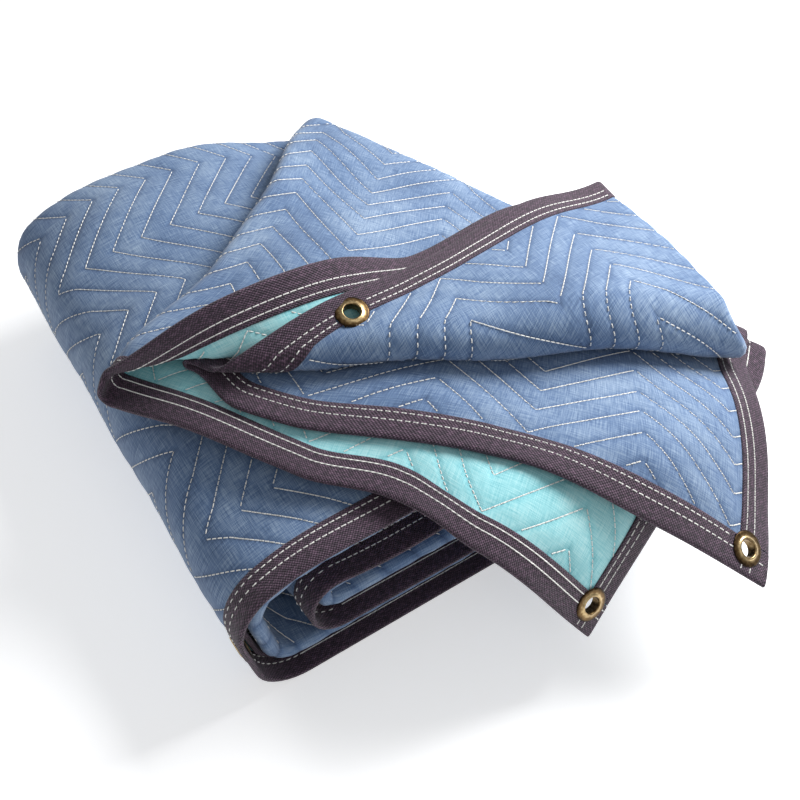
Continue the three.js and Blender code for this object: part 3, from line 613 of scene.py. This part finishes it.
def stitch_tree():
    """Points with a turn and a length each become raised stitches of thread."""
    tree = bpy.data.node_groups.new("stitch rows", "GeometryNodeTree")
    face = tree.interface
    face.new_socket("Geometry", in_out="INPUT", socket_type="NodeSocketGeometry")
    width = face.new_socket("Thread width", in_out="INPUT", socket_type="NodeSocketFloat")
    height = face.new_socket("Thread height", in_out="INPUT", socket_type="NodeSocketFloat")
    thread = face.new_socket("Thread", in_out="INPUT", socket_type="NodeSocketMaterial")
    face.new_socket("Geometry", in_out="OUTPUT", socket_type="NodeSocketGeometry")
    given = tree.nodes.new("NodeGroupInput").outputs
    grid = tree.nodes.new("GeometryNodeMeshGrid")
    grid.inputs["Size X"].default_value = 1.0
    grid.inputs["Vertices X"].default_value = 3
    grid.inputs["Vertices Y"].default_value = 3
    tree.links.new(given["Thread width"], grid.inputs["Size Y"])
    position = tree.nodes.new("GeometryNodeInputPosition")
    split = tree.nodes.new("ShaderNodeSeparateXYZ")
    tree.links.new(position.outputs[0], split.inputs[0])
    side = calc(tree, "DIVIDE", calc(tree, "ABSOLUTE", split.outputs[1]), given["Thread width"])
    end = calc(tree, "ABSOLUTE", split.outputs[0])
    fall = calc(tree, "MULTIPLY", calc(tree, "ADD", side, end), 2.0)
    crown = calc(tree, "MAXIMUM", calc(tree, "SUBTRACT", 1.0, fall), 0.0)
    raise_by = tree.nodes.new("ShaderNodeCombineXYZ")
    tree.links.new(calc(tree, "MULTIPLY", crown, given["Thread height"]), raise_by.inputs[2])
    crowned = tree.nodes.new("GeometryNodeSetPosition")
    tree.links.new(grid.outputs[0], crowned.inputs[0])
    tree.links.new(raise_by.outputs[0], crowned.inputs["Offset"])
    place = tree.nodes.new("GeometryNodeInstanceOnPoints")
    tree.links.new(given["Geometry"], place.inputs["Points"])
    tree.links.new(crowned.outputs[0], place.inputs["Instance"])
    for attribute, socket in (("turn", "Rotation"), ("stretch", "Scale")):
        named = tree.nodes.new("GeometryNodeInputNamedAttribute")
        named.data_type = "FLOAT_VECTOR"
        named.inputs["Name"].default_value = attribute
        tree.links.new(named.outputs[0], place.inputs[socket])
    real = tree.nodes.new("GeometryNodeRealizeInstances")
    tree.links.new(place.outputs[0], real.inputs[0])
    finish = tree.nodes.new("GeometryNodeSetMaterial")
    tree.links.new(real.outputs[0], finish.inputs[0])
    tree.links.new(given["Thread"], finish.inputs["Material"])
    out = tree.nodes.new("NodeGroupOutput")
    tree.links.new(finish.outputs[0], out.inputs[0])
    return tree, {"width": width.identifier, "height": height.identifier, "thread": thread.identifier}


THREAD_TONES = [(0.3, (0.62, 0.62, 0.59)), (0.7, (0.90, 0.89, 0.85))]
THREAD_SCALE, THREAD_DETAIL, THREAD_ROUGHNESS = 260.0, 2.0, 0.7


def thread_finish():
    material, tree, shader = new_material("white thread")
    place = add_node(tree, "ShaderNodeTexCoord").outputs["Object"]
    noise = add_node(tree, "ShaderNodeTexNoise", Vector=place, Scale=THREAD_SCALE, Detail=THREAD_DETAIL)
    tree.links.new(ramp(tree, noise.outputs[0], THREAD_TONES), shader.inputs["Base Color"])
    shader.inputs["Roughness"].default_value = THREAD_ROUGHNESS
    return material


stitches, stitch_sockets = stitch_tree()
white_thread = thread_finish()


def sew(name, runs):
    """Stitches along runs of (from u, from w, to u, to w, offset, length), as one piece."""
    u0, w0, u1, w1, offset, length = (np.concatenate(column) for column in zip(*runs))
    clear = from_eyelet(0.5 * (u0 + u1), 0.5 * (w0 + w1)) > EYELET_CLEAR
    u0, w0, u1, w1, offset, length = (column[clear] for column in (u0, w0, u1, w1, offset, length))
    ends = sheet_place(u0, w0, offset), sheet_place(u1, w1, offset)
    middle = 0.5 * (u0 + u1), 0.5 * (w0 + w1)
    centre = sheet_place(*middle, offset)
    flat = np.linalg.norm(0.5 * (ends[0] + ends[1]) - centre, axis=1) < MOST_SAGITTA
    centre[:, 2] = np.maximum(centre[:, 2], THREAD_HEIGHT)
    tangent = ends[1] - ends[0]
    tangent /= np.linalg.norm(tangent, axis=1, keepdims=True)
    up = sheet_normal(*middle) * np.sign(offset)[:, None]
    side = np.cross(up, tangent)
    side /= np.linalg.norm(side, axis=1, keepdims=True)
    up = np.cross(tangent, side)
    centre, tangent, side, up, length = (column[flat] for column in (centre, tangent, side, up, length))
    turns = [Matrix((t, s, n)).transposed().to_euler() for t, s, n in zip(tangent, side, up)]
    mesh = bpy.data.meshes.new(name)
    mesh.from_pydata(centre.tolist(), [], [])
    stretch = np.stack([length / 1000, np.ones_like(length), np.ones_like(length)], axis=-1)
    for attribute, values in (("turn", np.array(turns)), ("stretch", stretch)):
        layer = mesh.attributes.new(attribute, "FLOAT_VECTOR", "POINT")
        layer.data.foreach_set("vector", values.astype(np.float32).ravel())
    sewn = bpy.data.objects.new(name, mesh)
    bpy.context.collection.objects.link(sewn)
    rows = sewn.modifiers.new("stitch rows", "NODES")
    rows.node_group = stitches
    rows[stitch_sockets["width"]] = THREAD_WIDTH
    rows[stitch_sockets["height"]] = THREAD_HEIGHT
    rows[stitch_sockets["thread"]] = white_thread
    evaluated = sewn.evaluated_get(bpy.context.evaluated_depsgraph_get())
    plain = bpy.data.meshes.new_from_object(evaluated)
    sewn.modifiers.remove(rows)
    sewn.data = plain
    bpy.data.meshes.remove(mesh)
    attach(sewn, "root")
    return sewn


def quilt_rows(side, u_range, w_range, share):
    """Zigzag rows of the quilting inside a part of the sheet."""
    runs = []
    slope = 2 * ZIGZAG_HEIGHT / ZIGZAG_WAVE
    slant = math.hypot(1, slope)
    u = np.arange(u_range[0], u_range[1], QUILT_PITCH / slant)
    half = 0.5 * share * QUILT_PITCH / slant
    for row in range(math.ceil((w_range[1] + ZIGZAG_HEIGHT) / ROW_PITCH)):
        ends = [row * ROW_PITCH - zigzag(u + shift) for shift in (-half, half)]
        inside = (np.minimum(*ends) > w_range[0]) & (np.maximum(*ends) < w_range[1])
        straight = np.abs(ends[1] - ends[0]) > LEAST_SLANT * 2 * half * slope
        keep = inside & straight
        middle = cloth_surface(u[keep], 0.5 * (ends[0] + ends[1])[keep])
        runs.append((u[keep] - half, ends[0][keep], u[keep] + half, ends[1][keep],
                     side * (MIDDLE_GAP + middle + STITCH_LIFT), np.full(len(middle), share * QUILT_PITCH)))
    return runs


def binding_rows(side, share):
    """Two straight rows along each edge: both ends, then both long sides."""
    runs = []
    half = 0.5 * share * BINDING_PITCH
    offset = side * (TAPE_TOP + STITCH_LIFT)
    across = np.arange(BINDING_ENDS, WIDTH - BINDING_ENDS, BINDING_PITCH)
    down = np.arange(BINDING_ENDS, LENGTH - BINDING_ENDS, BINDING_PITCH)
    for inset in BINDING_ROWS:
        sizes = [(np.full(len(x), offset), np.full(len(x), share * BINDING_PITCH)) for x in (across, down)]
        level, lines = np.full(len(across), inset), np.full(len(down), inset)
        for end in (level, LENGTH - level):
            runs.append((across - half, end, across + half, end, *sizes[0]))
        for edge in (lines, WIDTH - lines):
            runs.append((edge, down - half, edge, down + half, *sizes[1]))
    return runs


# Parts of the sheet that show: the top, the outside of the roll, and the folds at its two ends
QUILTED_INSET = 26.0
FOLD_REACH = 80.0
quilted_across = (QUILTED_INSET, WIDTH - QUILTED_INSET)
on_top = (QUILTED_INSET, CREASE[0] + FOLD_REACH)
on_roll = (on_top[1], turn_starts[INNER_RUN] + FOLD_REACH)
in_roll = (on_roll[1], LENGTH - QUILTED_INSET)
blue_parts = [
    (quilted_across, on_top),
    ((QUILTED_INSET, stretch_starts[TOP]), on_roll),
    ((QUILTED_INSET, FOLD_REACH), in_roll),
    ((stretch_starts[OUTER] - FOLD_REACH, stretch_starts[TOP] + FOLD_REACH), in_roll),
    ((stretch_starts[RIDGE] - FOLD_REACH, stretch_starts[THIRD] + FOLD_REACH), (on_top[1], in_roll[1])),
    ((WIDTH - FOLD_REACH, WIDTH - QUILTED_INSET), (on_top[1], in_roll[1])),
]
blue_runs = [run for part in blue_parts for run in quilt_rows(1, *part, BLUE_SHARE)]
aqua_runs = quilt_rows(-1, quilted_across, on_top, AQUA_SHARE)
binding_runs = binding_rows(1, BINDING_BLUE_SHARE) + binding_rows(-1, BINDING_AQUA_SHARE)
blue_stitches = sew("blue_quilting_thread", blue_runs)
aqua_stitches = sew("aqua_quilting_thread", aqua_runs)
binding_stitches = sew("binding_thread", binding_runs)

# Eyelets: two-part brass grommets set through the binding and the quilting, their rims
# rolled over a washer on the back. Aged brown patina on the flange, and a painted highlight along the bead
# round the hole.
EYELET_SEAT = 2.35
EYELET_SIDES = 48
HOLE, BARREL = 6.5, 7.4
# Half of the ring's section, radius and height: the bead round the hole, then the flat flange
RIM = [(HOLE, 0.0), (HOLE, 0.8), (6.7, 1.35), (7.3, 1.65), (8.0, 1.55), (8.6, 1.1), (9.2, 0.8),
       (11.6, 0.75), (12.8, 0.55), (13.4, 0.15), (13.2, -0.15), (BARREL, -0.2)]
upper = [(radius, height + EYELET_SEAT) for radius, height in RIM]
lower = [(radius, -height) for radius, height in reversed(upper)]
rim_profile = np.array([(HOLE, 0.0)] + upper + [(BARREL, 0.0)] + lower)


def eyelet(name, u, w):
    """One ring, square to the sheet at its place."""
    turn = np.linspace(0, 2 * np.pi, EYELET_SIDES, endpoint=False)
    normal = sheet_normal(np.array([u]), np.array([w]))[0]
    side = np.cross(normal, [0.0, 0.0, 1.0])
    side /= np.linalg.norm(side)
    other = np.cross(normal, side)
    centre = sheet_middle(np.array([u]), np.array([w]))[0] + CENTRING
    out = np.outer(np.cos(turn), side) + np.outer(np.sin(turn), other)
    points = centre + rim_profile[:, 0][:, None, None] * out + rim_profile[:, 1][:, None, None] * normal
    loop = np.concatenate([points, points[:1]], axis=0)
    out_share = np.append(rim_profile[:, 0], rim_profile[0, 0]) / rim_profile[:, 0].max()
    uv = np.stack(np.meshgrid(out_share, turn, indexing="ij"), axis=-1)
    return mesh_grid(name, loop / 1000, uv, closed=True)


BRASS_TONES = [(0.15, (0.03, 0.018, 0.009)), (0.45, (0.17, 0.105, 0.045)), (0.75, (0.62, 0.47, 0.25))]
BRASS_SCALE, BRASS_DETAIL, BRASS_SPECKLE, BRASS_LEVEL = 420.0, 4.0, 0.5, 0.45
BEAD_HIGHLIGHT_SHARE, BEAD_HIGHLIGHT_FALL = 0.62, 1.6
BRASS_ROUGHNESS = (0.22, 0.5)


def brass_finish():
    """Brown patina, speckled, on the flange, and a painted highlight along the bead."""
    material, tree, shader = new_material("aged brass")
    place = add_node(tree, "ShaderNodeTexCoord").outputs["Object"]
    noise = add_node(tree, "ShaderNodeTexNoise", Vector=place, Scale=BRASS_SCALE, Detail=BRASS_DETAIL)
    noise = noise.outputs[0]
    uv = add_node(tree, "ShaderNodeUVMap", {"uv_map": "cloth"}).outputs[0]
    out_share = add_node(tree, "ShaderNodeSeparateXYZ", Vector=uv).outputs[0]
    # Painted highlight: the brass is lightest along the bead and darkens away from it
    bead = calc(tree, "ABSOLUTE", calc(tree, "SUBTRACT", out_share, BEAD_HIGHLIGHT_SHARE))
    speckle = calc(tree, "MULTIPLY_ADD", noise, BRASS_SPECKLE, BRASS_LEVEL)
    tone = calc(tree, "SUBTRACT", speckle, calc(tree, "MULTIPLY", bead, BEAD_HIGHLIGHT_FALL))
    tree.links.new(ramp(tree, tone, BRASS_TONES), shader.inputs["Base Color"])
    smoothest, roughest = BRASS_ROUGHNESS
    rough = add_node(tree, "ShaderNodeMapRange", i0=noise, i3=smoothest, i4=roughest)
    tree.links.new(rough.outputs[0], shader.inputs["Roughness"])
    shader.inputs["Metallic"].default_value = 1.0
    return material


aged_brass = brass_finish()
for node, (u, w) in eyelets.items():
    ring = eyelet(node + "_ring", u, w)
    ring.data.materials.append(aged_brass)
    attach(ring, "root")
    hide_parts(node)

# Stage: the blanket lies on a plain white floor that runs out of sight, in a white room. A
# key light stands low behind on the right and a weak fill stands in front. The camera looks
# down from the near end, as the photograph does.
FLOOR_REACH = 40.0
FLOOR_WHITE, FLOOR_ROUGHNESS, FLOOR_GLOW = (0.9, 0.9, 0.9, 1), 0.9, 0.46
floor_corners = [(x * FLOOR_REACH, y * FLOOR_REACH, 0) for x, y in ((-1, -1), (1, -1), (1, 1), (-1, 1))]
floor_mesh = bpy.data.meshes.new("floor")
floor_mesh.from_pydata(floor_corners, [], [(0, 1, 2, 3)])
floor = bpy.data.objects.new("floor", floor_mesh)
bpy.context.collection.objects.link(floor)
floor_material, _, floor_shader = new_material("pale floor")
floor_shader.inputs["Base Color"].default_value = FLOOR_WHITE
floor_shader.inputs["Roughness"].default_value = FLOOR_ROUGHNESS
floor_shader.inputs["Emission Color"].default_value = (1, 1, 1, 1)
floor_shader.inputs["Emission Strength"].default_value = FLOOR_GLOW
floor_mesh.materials.append(floor_material)

ROOM_WHITE, ROOM_STRENGTH = (0.95, 0.97, 1, 1), 0.36
world = bpy.data.worlds.new("soft white room")
world.use_nodes = True
world.node_tree.nodes["Background"].inputs["Color"].default_value = ROOM_WHITE
world.node_tree.nodes["Background"].inputs["Strength"].default_value = ROOM_STRENGTH
bpy.context.scene.world = world

# Name, place and size in metres, power in watts
LAMPS = [
    ("key light", (0.8, 0.4, 0.95), 0.6, 27.0),
    ("front fill", (0.6, -1.5, 1.6), 1.2, 4.0),
]
LIT_POINT = Vector((0, 0, 0.1))
for name, place, size, power in LAMPS:
    lamp = bpy.data.lights.new(name, "AREA")
    lamp.size = size
    lamp.energy = power
    light = bpy.data.objects.new(name, lamp)
    light.location = place
    light.rotation_euler = (LIT_POINT - Vector(place)).to_track_quat("-Z", "Y").to_euler()
    bpy.context.collection.objects.link(light)

CAMERA_PLACE, CAMERA_TILT = (0.0270, -0.6228, 0.6367), 44.0
CAMERA_LENS, CAMERA_SENSOR = 40.5, 36.0
camera_data = bpy.data.cameras.new("photo view")
camera_data.lens = CAMERA_LENS
camera_data.sensor_width = CAMERA_SENSOR
camera = bpy.data.objects.new("photo view", camera_data)
camera.location = CAMERA_PLACE
camera.rotation_euler = (math.radians(CAMERA_TILT), 0, 0)
bpy.context.collection.objects.link(camera)
bpy.context.scene.camera = camera
bpy.context.scene.view_settings.view_transform = "Standard"
